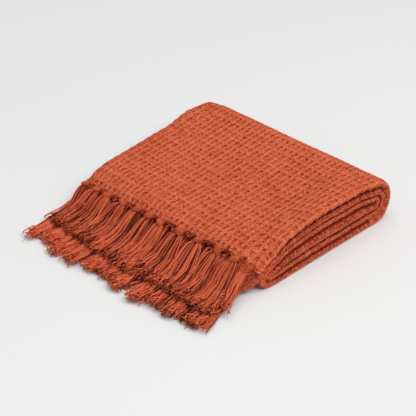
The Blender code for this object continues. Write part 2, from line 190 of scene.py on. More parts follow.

# rest: height that the yarns come to lie at; fall: length over which they come down to it,
# at the open side and at the closed folds; tips: Y of the tips at the open side, in the middle
# and at the closed folds; slant: drift towards +X; middle: X of the middle of the back row;
# floor: lowest height; reach and behind: length of a front and a back tassel, as a share;
# spread: width at 40 mm and at the tips; tone: at the open side and at the closed folds, with
# painted light on the lower tier's open side where the upper tier shades it; first: the first
# tassel's reach and shift; loose: the bunch past the last knot, with its distance, number of
# yarns, reach and shift
UPPER_TIER = {
    "rest": 8.8 * MM,
    "fall": (40 * MM, 66 * MM),
    "tips": (-213 * MM, -216 * MM, -203 * MM),
    "slant": 17 * MM,
    "middle": -10 * MM,
    "floor": 5.0 * MM,
    "reach": (0.93, 1.04),
    "behind": (0.93, 1.02),
    "spread": (1.0, 1.06),
    "tone": (0.33, 0.72),
    "first": (0.99, 10 * MM),
    "loose": (18 * MM, 26, 0.76, 5 * MM),
}
LOWER_TIER = {
    "rest": 2.0 * MM,
    "fall": (30 * MM, 40 * MM),
    "tips": (-256 * MM, -244 * MM, -233 * MM),
    "slant": 14 * MM,
    "middle": -4.2 * MM,
    "floor": 0.9 * MM,
    "reach": (0.88, 1.06),
    "behind": (0.85, 0.95),
    "spread": (0.84, 0.66),
    # Painted light at the open side, where the upper tier shades these yarns
    "tone": (1.25, 0.44),
    "first": (1.01, -12 * MM),
    "loose": (11 * MM, 34, 0.90, 9 * MM),
}
UPPER_KNOTS = tuple(x * MM for x in (-155, -133, -110, -78, -50, -27, -5, 31, 64, 98, 126))
LOWER_KNOTS = tuple(x * MM for x in (-129, -113, -86, -60, -31, -3, 22, 51, 79, 104, 133))
FULLNESS = (0.9, 0.9, 0.8, 0.7, 0.3, 0.15, 0.25, 0.3, 0.6, 0.6, 0.6)
BEFORE_FIRST_KNOT = 14 * MM
PAST_LAST_KNOT = 28 * MM

# A tassel's form.  Its rows have a column for each of these marks, and one for its tip
ALONG_A_TASSEL = (-7 * MM, 0.0, 3 * MM, 7 * MM, 12 * MM, 22 * MM, 40 * MM)
FRONT_EDGE_SHARE = 0.95
FRONT_NECK = (4.0 * MM, 3.6 * MM)
FRONT_SLIM = (0.46, 0.60, 0.74, 0.92)
FRONT_FULLER = (0.14, 0.24, 0.20, 0.06)
FRONT_HIGH_MM = (0.2, 1.4, 1.8, 3.0, 3.4, 3.0, 2.0, 2.0)
FRONT_LIFT_MM = (3.2, 3.6, 4.6, 5.2, 5.2, 4.6, 4.2)
FIRST_SHIFT = (0.0, 0.0, 0.0, 0.0, 0.1, 0.25, 0.6, 1.0)
BACK_WIDE_MM = (4.0, 2.6, 2.0, 2.6, 3.2, 4.0, 4.8, 5.0)
BACK_HIGH_MM = (0.3, 0.6, 0.9, 1.4, 1.6, 1.6, 1.5, 1.6)
BACK_LIFT_MM = (-2.6, -1.6, -1.2, -0.8, -0.6, -0.2, 0.0, 0.0)
LOOSE_WIDE = (1.0, 0.9, 0.85, 0.8, 0.8, 0.85, 0.95, 1.0)
LOOSE_HIGH_MM = (0.3, 0.8, 1.2, 1.8, 2.2, 2.2, 2.0, 2.0)
LOOSE_LIFT_MM = (1.6, 2.2, 2.6, 3.2, 3.6, 3.8, 3.6, 3.4)
LOOSE_SHIFT = (0.0, 0.0, 0.0, 0.05, 0.15, 0.35, 0.7, 1.0)

# How finely the yarns are made in front and behind, and how much painted shade they get near
# their knot
IN_FRONT = {"sides": 5, "steps": (5, 6, 9, 7), "fibres": 3, "painted_top_shade": 0.0, "thicker": 1.0}
BEHIND = {"sides": 4, "steps": (3, 4, 6, 4), "fibres": 2, "painted_top_shade": 0.35, "thicker": 1.15}

# How a yarn goes its own way in a tassel
COLUMNS_PER_LAYER = 4.8
COLUMN_STRAY = 0.07
LAYER_STRAY = 0.14
CUT_UNEVEN_MM = (-13, 3)
TAIL_MM = (1.0, 3.6)
TAIL_UNEVEN_MM = (0.3, 1.6)
KNOT_END = 3 * MM
NECK_END = 15 * MM
FREE_FROM = 12 * MM
FREE_OVER = 34 * MM
LATE_FROM = 0.55
LATE_OVER = 0.45
LEAN = 1.6 * MM
FREE_STRAY = 1.4 * MM
LATE_STRAY = 2.0 * MM
LATE_RISE = 1.0 * MM
FINE_WAVE = (0.35 * MM, 4.5 * MM)
SLOW_WAVE = (0.8 * MM, 14 * MM)
BOB = (0.5 * MM, 5.0 * MM)
HOOK_LENGTH = 9 * MM
HOOK_TURN = (1.5, 5.0)
HOOK_SIZE_MM = (0.6, 2.0)
HOOK_TAPER = 0.12
RADIUS_UNEVEN = (0.85, 1.12)

# Fibres of a cut end
FIBRE_SPREAD = 0.55
FIBRE_LENGTH_MM = (2.0, 4.2)
FIBRE_CURL_MM = 1.3
FIBRE_RADII_MM = (0.75, 0.62, 0.40)

# Tone of the yarns: chance; painted light on upper layers and painted shade on lower ones;
# painted light on free ends; painted shade on the tops behind; and yarns painted in shade, the
# rest painted a little lit
TONE_STRAY = 0.26
LAYER_LIGHT_AND_SHADE = 0.34
LATE_PAINTED_LIGHT = 0.26
TOP_SHADE_FADE = (8 * MM, 22 * MM)
HOOK_TONE = 0.16
LIT_YARN = 0.12
SHADED_YARNS = 0.24
DEEP_SHADE = 0.70
LOOSE_SHADE = 0.15

# Knots
KNOT_WIDTH_MM = (5.0, 6.3)
KNOT_HEIGHT_MM = (4.1, 4.9)
KNOT_LENGTH_MM = (3.4, 4.4)
KNOT_AT_MM = (1.5, 3.5)
KNOT_LIFT_MM = (4.4, 5.3)
KNOT_TURNS = 4
KNOT_YARN_RADIUS = 1.15 * MM
HEART_INSET = 0.9 * MM
KNOT_TONE = 0.74
HEART_PAINTED_SHADE = 0.4
THIN_YARN_RADIUS = YARN_RADIUS * 0.85

# Gathered warp ends, and tangles: yarns at the open side, at the closed folds, between knots
GATHER_PITCH = 1.9 * MM
GATHER_PAST_KNOTS = (4 * MM, 12 * MM)
GATHER_LIFT_MM = (1.2, 2.2)
TANGLES = (6, 46, 9)
TANGLE_REACH = 20 * MM
SMALL_TANGLE_REACH = 6 * MM


def lerp(a, b, t):
    return a + (b - a) * t


def ease(t):
    t = np.clip(t, 0.0, 1.0)
    return t * t * (3.0 - 2.0 * t)


def bell(distance, width):
    """1 at no distance, and close to 0 at twice the width."""
    return np.exp(-((distance / width) ** 2))


def side_of(x):
    """0 at the open side, 1 at the closed folds."""
    return np.clip(x / STACK_WIDTH + 0.5, 0.0, 1.0)


def held_up(x):
    """How far the closed folds hold the stack up: 0 away from them, 1 at their edge."""
    return ease((x - CLOSED_EDGE_X) / (STACK_WIDTH / 2 - CLOSED_EDGE_X))


def press(x, y):
    """Height factor of the pressed-down stack."""
    held = held_up(x)
    start = lerp(*PRESS_START_Y, held)
    t = np.clip((start - y) / (start - PRESS_END_Y), 0.0, 1.0)
    u = np.clip((SAG_START_Y - y) / (SAG_START_Y - SAG_END_Y), 0.0, 1.0)
    sag = MIDDLE_SAG * 4.0 * u * (1.0 - u) * (1.0 - (2.0 * x / STACK_WIDTH) ** 2)
    slope = 1.0 - lerp(*PRESS_DEPTH, side_of(x)) * lerp(t, ease(t), 0.5 * held) - sag
    (across, start_across), (along, start_along) = UNEVEN_ACROSS, UNEVEN_ALONG
    wave = np.sin(across * x + start_across) * np.sin(along * y + start_along)
    corner = ease((x - CORNER_X) / (STACK_WIDTH / 2 - CORNER_X))
    corner = corner * ease((CORNER_START_Y - y) / (CORNER_START_Y - CORNER_END_Y))
    return slope * (1.0 + UNEVENNESS * wave) * (1.0 - CORNER_DROOP * corner)


# ---------------------------------------------------------------- lengthwise path

def level_height(layer, y, front_y, held):
    """Height of a level layer's middle, and how far its plies are spread."""
    z = BAND_HALF + "FEDCBA".index(layer) * BAND_PITCH
    to_front, to_back = y - front_y, BACK_NEST_Y - y
    loose = min(ease(to_front / LOOSE_BAND_ENDS), ease(to_back / LOOSE_BAND_ENDS))
    swell = float(loose) * LOOSE_BAND_SWELL * held
    z += {"A": swell + TOP_BAND_EASE, "B": swell, "C": swell, "D": swell / 2}.get(layer, 0.0)
    return z, 1.0 + (swell / (3 * PLY_PITCH) if layer == "D" else 0.0)


def level_run(layer, front_y, forward, held):
    heading = math.pi if forward else 0.0
    rows = []
    for i in range(LEVEL_STEPS + 1):
        y = lerp(front_y, BACK_NEST_Y, i / LEVEL_STEPS)
        z, spread = level_height(layer, y, front_y, held)
        rows.append((y, z, heading, spread, *LAYER_JOG[layer]))
    return rows[::-1] if forward else rows


def turn(centre, radius, start_deg, turn_deg, layers):
    steps = max(round(radius * math.pi / ROW_STEP), LEAST_TURN_STEPS)
    rows = []
    for i in range(1, steps):
        t = i / steps
        a = math.radians(start_deg + turn_deg * t)
        y, z = centre[0] + radius * math.cos(a), centre[1] + radius * math.sin(a)
        heading = a + math.copysign(math.pi / 2, turn_deg)
        jogs = [lerp(p, q, t) for p, q in zip(LAYER_JOG[layers[0]], LAYER_JOG[layers[1]])]
        rows.append((y, z, heading, 1.0, *jogs))
    return rows


def drape_point(front_y, nest_z, radius, distance, floor_z):
    """Where a layer hanging over the front nest has come to: y, z, slope angle."""
    bend = radius * DRAPE_ANGLE
    if distance <= bend:
        a = distance / radius
        return front_y - radius * math.sin(a), nest_z + radius * math.cos(a), a
    y = front_y - radius * math.sin(DRAPE_ANGLE)
    z = nest_z + radius * math.cos(DRAPE_ANGLE)
    drop = FLOOR_BEND_RADIUS * (1.0 - math.cos(DRAPE_ANGLE))
    slide = (z - floor_z - drop) / math.sin(DRAPE_ANGLE)
    straight = min(distance - bend, slide)
    y -= straight * math.cos(DRAPE_ANGLE)
    z -= straight * math.sin(DRAPE_ANGLE)
    rest = distance - bend - straight
    if rest <= 0.0:
        return y, z, DRAPE_ANGLE
    a = DRAPE_ANGLE - min(rest / FLOOR_BEND_RADIUS, DRAPE_ANGLE)
    y -= FLOOR_BEND_RADIUS * (math.sin(DRAPE_ANGLE) - math.sin(a))
    z -= FLOOR_BEND_RADIUS * (math.cos(a) - math.cos(DRAPE_ANGLE))
    return y - max(rest - FLOOR_BEND_RADIUS * DRAPE_ANGLE, 0.0), z, a


def drape(layer, front_y, overhang, steps):
    nest_z = BAND_HALF + 1.5 * BAND_PITCH
    radius = level_height(layer, front_y, front_y, 0.0)[0] - nest_z
    floor_z = BAND_HALF + FLOOR_CLEARANCE
    rows = []
    for i in range(1, steps + 1):
        y, z, a = drape_point(front_y, nest_z, radius, overhang * i / steps, floor_z)
        rows.append((y, z, math.pi + a, 1.0, *LAYER_JOG[layer]))
    return rows


def path_at(x):
    """The lengthwise path at one place across the width, and where each stretch starts."""
    side, held = float(side_of(x)), float(held_up(x))
    front_y = lerp(FRONT_NEST_Y_OPEN, FRONT_NEST_Y_CLOSED, side)
    back_z = BAND_HALF + 2.5 * BAND_PITCH
    front_z = BAND_HALF + 1.5 * BAND_PITCH
    back, front = (BACK_NEST_Y, back_z), (front_y, front_z)
    outer = (BACK_NEST_Y, back_z + TOP_BAND_EASE / 2)
    upper = drape("A", front_y, lerp(*UPPER_OVERHANG, side), DRAPE_STEPS[0])[::-1]
    upper = [(y, z, a - math.pi, s, j, k) for y, z, a, s, j, k in upper]
    lower = drape("B", front_y, lerp(*LOWER_OVERHANG, side), DRAPE_STEPS[1])
    stretches = [
        ("A", upper + level_run("A", front_y, False, held)),
        ("AF", turn(outer, 2.5 * BAND_PITCH + TOP_BAND_EASE / 2, 90, -180, "AF")),
        ("F", level_run("F", front_y, True, held)),
        ("FC", turn(front, 1.5 * BAND_PITCH, 270, -180, "FC")),
        ("C", level_run("C", front_y, False, held)),
        ("CD", turn(back, 0.5 * BAND_PITCH, 90, -180, "CD")),
        ("D", level_run("D", front_y, True, held)),
        ("DE", turn(front, 0.5 * BAND_PITCH, 90, 180, "DE")),
        ("E", level_run("E", front_y, False, held)),
        ("EB", turn(back, 1.5 * BAND_PITCH, 270, 180, "EB")),
        ("B", level_run("B", front_y, True, held) + lower),
    ]
    rows, starts = [], {}
    for name, stretch in stretches:
        starts[name] = len(rows)
        rows += stretch
    return np.array(rows), starts


STATION_X = np.linspace(-STACK_WIDTH / 2, STACK_WIDTH / 2, WIDTH_STATIONS)
STARTS = path_at(0.0)[1]
PATHS = np.array([path_at(x)[0] for x in STATION_X])
LAST_ROW = PATHS.shape[1] - 1
MIDDLE_PATH = PATHS[WIDTH_STATIONS // 2]


def developed(points):
    """Distance along a line of points, from its first."""
    return np.concatenate([[0.0], np.cumsum(np.hypot(*np.diff(points, axis=0).T))])


ALONG = developed(MIDDLE_PATH[:, :2])


# ---------------------------------------------------------------- widthwise section

def section():
    """The four plies' middle line at fine steps: x, offset, normal x, normal offset."""
    high, low = 1.5 * PLY_PITCH, 0.5 * PLY_PITCH
    closed_x = STACK_WIDTH / 2 - high - PLY_THICKNESS / 2
    open_x = -STACK_WIDTH / 2 + low + PLY_THICKNESS / 2
    top_x = -STACK_WIDTH / 2 + SELVAGE_INSET_TOP
    inner_x = -STACK_WIDTH / 2 + SELVAGE_INSET_INNER
    marks = {}
    samples = []

    def ply(x0, x1, offset):
        sign = math.copysign(1.0, x1 - x0)
        for x in np.linspace(x0, x1, round(abs(x1 - x0) / GRID) + 1):
            samples.append((x, offset, 0.0, sign))

    def fold(name, x, middle, radius, start, sweep):
        marks[name] = len(samples)
        side = -math.copysign(1.0, sweep)
        steps = max(round(abs(sweep) * (radius + PLY_THICKNESS / 2) / FOLD_GRID), 6)
        for i in range(1, steps):
            a = start + sweep * i / steps
            c, s = math.cos(a), math.sin(a)
            samples.append((x + radius * c, middle + radius * s, side * c, side * s))
        marks[name + "_end"] = len(samples)

    quarter = math.pi / 2
    ply(top_x, closed_x, high)
    fold("closed", closed_x, 0.0, high, quarter, -math.pi)
    ply(closed_x, open_x, -high)
    fold("open", open_x, -2 * low, low, 3 * quarter, -math.pi)
    ply(open_x, closed_x, -low)
    fold("inner", closed_x, 0.0, low, 3 * quarter, math.pi)
    ply(closed_x, inner_x, low)
    return np.array(samples), marks


SECTION, MARKS = section()
ACROSS = developed(SECTION[:, :2])


def face_columns(indices, face):
    """Columns on one face of the sheet: x, offset, dx, doffset and developed distance."""
    x, off, nx, no = SECTION[indices].T
    half = face * PLY_THICKNESS / 2
    return np.stack([x, off, nx * half, no * half, ACROSS[indices]], axis=1)


def edge_columns(index, outward):
    """Columns round a selvage, from its left face to its right face."""
    x, off, nx, no = SECTION[index]
    half = PLY_THICKNESS / 2
    columns = []
    for a in np.radians(SELVAGE_TURN):
        dx = outward * half * math.cos(a) * SELVAGE_BULGE
        columns.append((x, off, dx, no * half * math.sin(a), ACROSS[index] + dx))
    return np.array(columns)


def mapped(columns, rows):
    """World points, (rows, columns, 3), of section columns at path rows."""
    x, off, dx, doff = columns[:, 0], columns[:, 1], columns[:, 2], columns[:, 3]
    place = (x + STACK_WIDTH / 2) / STACK_WIDTH * (WIDTH_STATIONS - 1)
    place = np.clip(place, 0, WIDTH_STATIONS - 1.001)
    k = place.astype(int)
    t = (place - k)[None, :, None]
    low, high = PATHS[k][:, rows].transpose(1, 0, 2), PATHS[k + 1][:, rows].transpose(1, 0, 2)
    y, z, heading, spread, jog_closed, jog_open = np.moveaxis(lerp(low, high, t), 2, 0)
    offset = off * spread + doff
    y = y - np.sin(heading) * offset
    z = z + np.cos(heading) * offset
    side = side_of(x)
    wide = x + dx + jog_closed * side - jog_open * (1.0 - side)
    scallop = SCALLOP * np.abs(np.sin(math.pi * ALONG[rows] / CELL_ALONG))[:, None]
    wide = wide - scallop * (1.0 - ease((x + STACK_WIDTH / 2) / SCALLOP_REACH))
    z = z * press(wide, y)
    points = np.stack([wide, y, z], axis=2)
    pleats = np.sin(2 * math.pi * wide / PLEAT_PITCH + PLEAT_LEAN * z / MM)
    for (at_x, at_y), reach, shift, pleat_height in OUT_OF_SHAPE.values():
        share = 1.0 - ease(np.hypot(wide - at_x, y - at_y) / reach)
        points = points + share[..., None] * np.array(shift)
        points[..., 1] += pleat_height * pleats * share
    return points


# ---------------------------------------------------------------- waffle relief

def wander(a, b, seed, size):
    """Slow smooth variation, about -1 to 1, over the developed sheet."""
    s = np.random.default_rng(seed).uniform(0, FULL_TURN, 4)
    p, q = FULL_TURN * a / size, FULL_TURN * b / size
    value = np.sin(p + 0.6 * q + s[0]) + np.sin(1.7 * q - 0.8 * p + s[1])
    value = value + 0.7 * np.sin(2.3 * p + 1.9 * q + s[2])
    return (value + 0.7 * np.sin(2.9 * q - 2.1 * p + s[3])) / 3.4


def waffle(a, b):
    """Relief of the weave, and its tone: painted shade in a pit, painted light on a rib."""
    a = a + 0.6 * MM * wander(a, b, 1, 60 * MM)
    b = b + 1.0 * MM * wander(a, b, 2, 75 * MM)
    column, row = np.floor(a / CELL_ACROSS), np.floor(b / CELL_ALONG)
    u, v = a / CELL_ACROSS - column, b / CELL_ALONG - row
    to_side, to_end = np.minimum(u, 1.0 - u), np.minimum(v, 1.0 - v)
    warp_rib = bell(to_side * CELL_ACROSS, RIB_HALF)
    weft_rib = WEFT_RIB_SHARE * bell(to_end * CELL_ALONG, RIB_HALF)
    ribs = 1.0 - (1.0 - warp_rib) * (1.0 - weft_rib)
    deepest = bell(v - HOLE_AT, DEEP_HALF)
    half_cell = HALF_CELL_RISE * bell((v - HALF_CELL_AT) * CELL_ALONG, HALF_CELL_WIDTH)
    uneven = 0.86 + 0.22 * np.sin(row * 12.9 + column * 4.7) * np.cos(column * 7.3 - row * 2.1)
    bowl = (1.0 - ribs) * (SHALLOW_BOWL + DEEP_BOWL * deepest * uneven - half_cell)
    relief = RIB_RISE * ribs - CELL_DEPTH * bowl
    across = (0.5 - to_side) * CELL_ACROSS / HOLE_HALF
    along = (v - HOLE_AT - HOLE_LAG) * CELL_ALONG / HOLE_HALF
    hole = np.exp(-(across ** 2) - along ** 2)
    # Painted light on the ribs, painted shade in the bowls and holes
    tone = CELL_TONE + RIB_PAINTED_LIGHT * ribs - BOWL_PAINTED_SHADE * bowl - HOLE_PAINTED_SHADE * hole * uneven
    return relief, tone


def yarn_grain(shape, seed):
    """Small bumps of single yarns, drawn out a little along the warp."""
    grain = np.random.default_rng(seed).normal(0, 1.0, shape)
    grain[1:-1] = 0.5 * grain[1:-1] + 0.3 * (grain[:-2] + grain[2:])
    return grain


def inside_the_hem(a, b, knots):
    """Distance from the cloth's end, which is drawn in between its knots and ragged."""
    x = a - STACK_WIDTH / 2 + SELVAGE_INSET_TOP
    to_knot = np.min([np.abs(x - k) for k in knots], axis=0)
    least, most = HEM_DRAWN_MM
    drawn = (least + most * np.minimum(to_knot / HEM_DRAWN_OVER, 1.0) ** 0.7) * MM
    drawn = drawn + HEM_RAGGED * np.sin(x / (1.1 * MM)) * np.sin(x / (3.7 * MM))
    return b - drawn


# ---------------------------------------------------------------- meshes

def grid_normals(points):
    down = np.gradient(points, axis=0)
    across = np.gradient(points, axis=1)
    normal = np.cross(across, down)
    return normal / np.maximum(np.linalg.norm(normal, axis=2, keepdims=True), 1e-12)


def grid_faces(rows, columns):
    index = np.arange(rows * columns).reshape(rows, columns)
    quads = [index[:-1, :-1], index[:-1, 1:], index[1:, 1:], index[1:, :-1]]
    return np.stack(quads, axis=2).reshape(-1, 4)


def tube_faces(index):
    """Faces round a closed tube, from its point numbers in (rings, sides)."""
    around = np.roll(index, -1, axis=1)
    quads = [index[:-1], around[:-1], around[1:], index[1:]]
    return np.stack(quads, axis=2).reshape(-1, 4)


def mesh_object(name, points, faces, material, uv=None, tone=None):
    """Mesh from point and face arrays (all faces with the same number of corners)."""
    mesh = bpy.data.meshes.new(name)
    corners = faces.shape[1]
    mesh.vertices.add(len(points))
    mesh.vertices.foreach_set("co", np.ascontiguousarray(points, dtype=np.float32).ravel())
    mesh.loops.add(faces.size)
    mesh.loops.foreach_set("vertex_index", faces.astype(np.int32).ravel())
    mesh.polygons.add(len(faces))
    mesh.polygons.foreach_set("loop_start", np.arange(0, faces.size, corners, dtype=np.int32))
    mesh.update(calc_edges=True)
    mesh.validate()
    if uv is not None:
        layer = mesh.uv_layers.new(name="UVMap")
        layer.data.foreach_set("uv", uv[faces.ravel()].astype(np.float32).ravel())
    if tone is not None:
        data = mesh.attributes.new("tone", "FLOAT", "POINT")
        data.data.foreach_set("value", tone.astype(np.float32).ravel())
    mesh.materials.append(material)
    mesh.shade_smooth()
    obj = bpy.data.objects.new(name, mesh)
    bpy.context.scene.collection.objects.link(obj)
    return obj


# ---------------------------------------------------------------- cloth

def cloth_patch(name, columns, rows, material, depth=1.0, hem=None, shaded=False):
    """A fine piece of the sheet's surface with the waffle raised on it.

    hem is the row of knots its first edge is drawn towards; shaded paints shade on the folds,
    a little on their noses and deep between them.  The name's length seeds the grain.
    """
    points = mapped(columns, rows)
    a = np.broadcast_to(columns[:, 4][None, :], points.shape[:2])
    b = np.broadcast_to(ALONG[rows][:, None], points.shape[:2])
    relief, tone = waffle(a, b)
    from_selvage = np.minimum(a, ACROSS[-1] - a)
    firm = ease((from_selvage - FIRM_EDGE[0]) / FIRM_EDGE[1])
    relief = relief * depth + SLOW_RISE * wander(a, b, 5, 110 * MM)
    grain = yarn_grain(a.shape, len(name))
    relief = relief * firm + YARN_GRAIN * grain
    # The grain paints light on the tops of the yarn bumps and shade between them
    tone = PLAIN_TONE + (tone - PLAIN_TONE) * firm * min(0.3 + depth, 1.0) + GRAIN_LIGHT_AND_SHADE * grain
    if hem is not None:
        inside = inside_the_hem(a, b, hem)
        relief = relief * ease(inside / HEM_FLAT)
        relief = relief - HEM_ROLL * (1.0 - ease(inside / HEM_ROLL_OVER))
        # Painted shade along the rolled-over end
        tone = tone - HEM_SHADE * (1.0 - ease(inside / HEM_SHADE_OVER))
    if shaded:
        # Painted shade on the folds: a little on their noses, deep between them
        sideways = np.abs(columns[:, 2]) / (PLY_THICKNESS / 2)
        level = ease((points[..., 1] + FOLD_SHADE_Y[0]) / FOLD_SHADE_Y[1])
        tone = tone - level * (FOLD_SHADE + (1.0 - ease(1.1 * sideways))[None, :])
    shift = grid_normals(points) * relief[..., None]
    shift[..., 2] *= press(points[..., 0], points[..., 1])
    points = points + shift
    points[..., 2] = np.maximum(points[..., 2], LOWEST_CLOTH)
    uv = np.stack([a * UV_PER_METRE, b * UV_PER_METRE], axis=2).reshape(-1, 2)
    faces = grid_faces(*points.shape[:2])
    obj = mesh_object(name, points.reshape(-1, 3), faces, material, uv, tone.reshape(-1))
    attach(obj, "root")


def core_rows():
    """Path rows for the whole sheet: close together where the path bends and in front."""
    keep, last = [1], 1
    for i in range(2, LAST_ROW):
        bend = abs(MIDDLE_PATH[i, 2] - MIDDLE_PATH[last, 2])
        widest = CORE_FRONT_GAP if MIDDLE_PATH[i, 0] < CORE_FRONT_Y else CORE_ROW_GAP
        if bend > CORE_BEND or ALONG[i] - ALONG[last] > widest:
            keep.append(i)
            last = i
    return np.array(keep + [LAST_ROW - 1])


def core_columns():
    """Section points for the whole sheet: close together at the folds."""
    keep = list(range(0, len(SECTION), CORE_COLUMN_STEP)) + [len(SECTION) - 1]
    fine = range(0, len(SECTION), CORE_CLOSED_STEP)
    keep += [i for i in fine if SECTION[i, 0] > CORE_CLOSED_X]
    for fold in ("closed", "open", "inner"):
        keep += range(MARKS[fold] - 1, MARKS[fold + "_end"] + 1, CORE_FOLD_STEP)
    return np.array(sorted(set(keep)))


def whole_sheet(material):
    """The whole folded sheet as one thin closed body, just under the patches, painted dark as
    shade.
    """
    keep, rows = core_columns(), core_rows()
    x, off, nx, no = SECTION[keep].T
    faces_of = []
    for reach in (CORE_MIDDLE + CORE_HALF, CORE_MIDDLE - CORE_HALF):
        faces_of.append(np.stack([x, off, nx * reach, no * reach, ACROSS[keep]], axis=1))
    loop = np.concatenate([faces_of[0], faces_of[1][::-1]])
    points = mapped(loop, rows)
    points[..., 2] = np.maximum(points[..., 2], CORE_FLOOR)
    to_end = np.minimum(ALONG[rows], ALONG[-1] - ALONG[rows])
    # Painted shade: darker than plain cloth, darker still towards the ends
    tone = CORE_SHADE_TONE - CORE_END_SHADE * (1.0 - ease(to_end / CORE_END_LENGTH))
    tone = np.broadcast_to(tone[:, None], points.shape[:2])
    count = len(loop)
    index = np.arange(len(rows) * count).reshape(len(rows), count)
    caps = []
    for ring in (index[0], index[-1]):
        left, right = ring[:count // 2], ring[count // 2:][::-1]
        caps.append(np.stack([left[:-1], left[1:], right[1:], right[:-1]], axis=1))
    faces = np.concatenate([tube_faces(index)] + caps)
    flat = points.reshape(-1, 3)
    obj = mesh_object("blanket_sheet", flat, faces, material, tone=tone.reshape(-1))
    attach(obj, "root")
    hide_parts("blanket_cloth")


def spaced(first, last, step):
    return np.append(np.arange(first, last, step), last)


def build_cloth(material):
    whole_sheet(material)
    margin, last = PATCH_MARGIN, len(SECTION) - 1
    closed, closed_end = MARKS["closed"], MARKS["closed_end"]
    opened, opened_end = MARKS["open"], MARKS["open_end"]

    top_end = STARTS["F"] + ROWS_PAST_THE_TOP
    top_rows = np.arange(0, top_end + 1)
    side_rows, low_rows = spaced(top_end, LAST_ROW, 1), spaced(top_end, LAST_ROW, 2)
    all_rows = spaced(0, LAST_ROW, 2)
    drape_start = STARTS["B"] + LEVEL_STEPS - ROWS_BEFORE_THE_DRAPE
    drape_rows = np.arange(drape_start, LAST_ROW + 1)

    top = face_columns(np.arange(0, closed_end + margin), 1)
    fold = face_columns(np.arange(closed - margin, closed_end + margin), 1)
    open_fold = face_columns(np.arange(opened - margin, opened_end + margin), 1)
    under = face_columns(np.arange(closed_end + margin - 2, opened - margin + 3), 1)
    first, end = np.arange(0, margin), np.arange(last - margin + 1, last + 1)
    outer, inner = edge_columns(0, -1.0)[::-1], edge_columns(last, 1.0)
    outer_back = np.concatenate([face_columns(first, -1)[::-1], outer[:3]])
    outer_front = np.concatenate([outer[2:], face_columns(first, 1)])
    inner_front = np.concatenate([face_columns(end, 1), inner[:3]])
    inner_back = np.concatenate([inner[2:], face_columns(end, -1)[::-1]])

    patches = (
        ("blanket_top", np.concatenate([outer[3:], top]), top_rows, 1.0, {"hem": UPPER_KNOTS}),
        ("closed_folds", fold, side_rows, 0.3, {"shaded": True}),
        ("open_folds", open_fold, all_rows, 0.4, {"shaded": True}),
        ("lower_drape", under, drape_rows, 0.8, {}),
        ("outer_hem_under", outer_back, top_rows, 0.3, {}),
        ("outer_hem_under_low", outer_back, low_rows, 0.3, {}),
        ("outer_hem_low", outer_front, low_rows, 0.3, {}),
        ("inner_hem", inner_front, all_rows, 0.3, {}),
        ("inner_hem_under", inner_back, all_rows, 0.3, {}),
    )
    for name, columns, rows, depth, extra in patches:
        cloth_patch(name, columns, rows, material, depth, **extra)


# ---------------------------------------------------------------- fringe

class Tubes:
    """Gathers yarn tubes into one mesh."""

    def __init__(self):
        self.points, self.faces, self.uv, self.tone = [], [], [], []
        self.count = 0

    def add(self, line, radii, tone, sides=5):
        """line (n, 3); radii and tone are single values or one for each point."""
        n = len(line)
        radii = np.broadcast_to(radii, (n,))
        tangent = np.gradient(line, axis=0)
        tangent /= np.maximum(np.linalg.norm(tangent, axis=1, keepdims=True), 1e-12)
        first = np.cross(tangent, np.array([0.0, 0.3, 1.0]))
        first /= np.maximum(np.linalg.norm(first, axis=1, keepdims=True), 1e-9)
        second = np.cross(first, tangent)
        angles = np.linspace(0, 2 * math.pi, sides, endpoint=False)[None, :, None]
        ring = first[:, None] * np.cos(angles) + second[:, None] * np.sin(angles)
        points = line[:, None] + ring * radii[:, None, None]
        index = self.count + np.arange(n * sides).reshape(n, sides)
        self.faces.append(tube_faces(index))
        steps = np.linalg.norm(np.diff(line, axis=0), axis=1)
        reached = np.concatenate([[0], np.cumsum(steps)])
        u = np.broadcast_to(np.arange(sides) / sides, (n, sides))
        v = np.broadcast_to(reached[:, None] * 100.0, (n, sides))
        self.uv.append(np.stack([u, v], axis=2).reshape(-1, 2))
        self.points.append(points.reshape(-1, 3))
        self.tone.append(np.repeat(np.broadcast_to(tone, (n,)), sides))
        self.count += n * sides

    def build(self, name, material):
        points, faces = np.concatenate(self.points), np.concatenate(self.faces)
        uv, tone = np.concatenate(self.uv), np.concatenate(self.tone)
        return mesh_object(name, points, faces, material, uv, tone)


class Tier:
    """One row of tassels: where it starts, falls and rests."""

    def __init__(self, settings, row):
        self.settings = settings
        across = np.array([(x, 0.0, 0.0, 0.0, 0.0) for x in STATION_X])
        ends = mapped(across, np.array([row]))[0]
        self.end_y, self.end_z = ends[:, 1], ends[:, 2]

    def start(self, x):
        return np.interp(x, STATION_X, self.end_y), np.interp(x, STATION_X, self.end_z)

    def length(self, x):
        tip = np.interp(float(side_of(x)), [0.0, 0.5, 1.0], self.settings["tips"])
        return self.start(x)[0] - tip

    def at(self, x, run, shift, lift):
        """World points along a yarn: run, shift and lift are arrays of one length."""
        s = self.settings
        y0, z0 = self.start(x)
        fall = lerp(*s["fall"], float(side_of(x)))
        left_over = np.clip(1.0 - run / fall, 0.0, None)
        z = s["rest"] + (z0 - s["rest"]) * left_over ** 2
        slope = -2.0 * (z0 - s["rest"]) * left_over / fall
        norm = np.hypot(slope, 1.0)
        drift = s["slant"] * ease(run / self.length(x))
        y = y0 - run + slope / norm * lift
        points = np.stack([x + drift + shift, y, z + lift / norm], axis=-1)
        points[..., 2] = np.maximum(points[..., 2], s["floor"])
        return points


def smooth_steps(t, marks, values):
    """Values at marks, blended smoothly between them."""
    k = np.clip(np.searchsorted(marks, t, side="right") - 1, 0, len(marks) - 2)
    u = ease((t - marks[k]) / (marks[k + 1] - marks[k]))
    return lerp(values[k], values[k + 1], u)


def swing(wave, run, phase):
    size, length = wave
    return size * np.sin(run / length + phase)


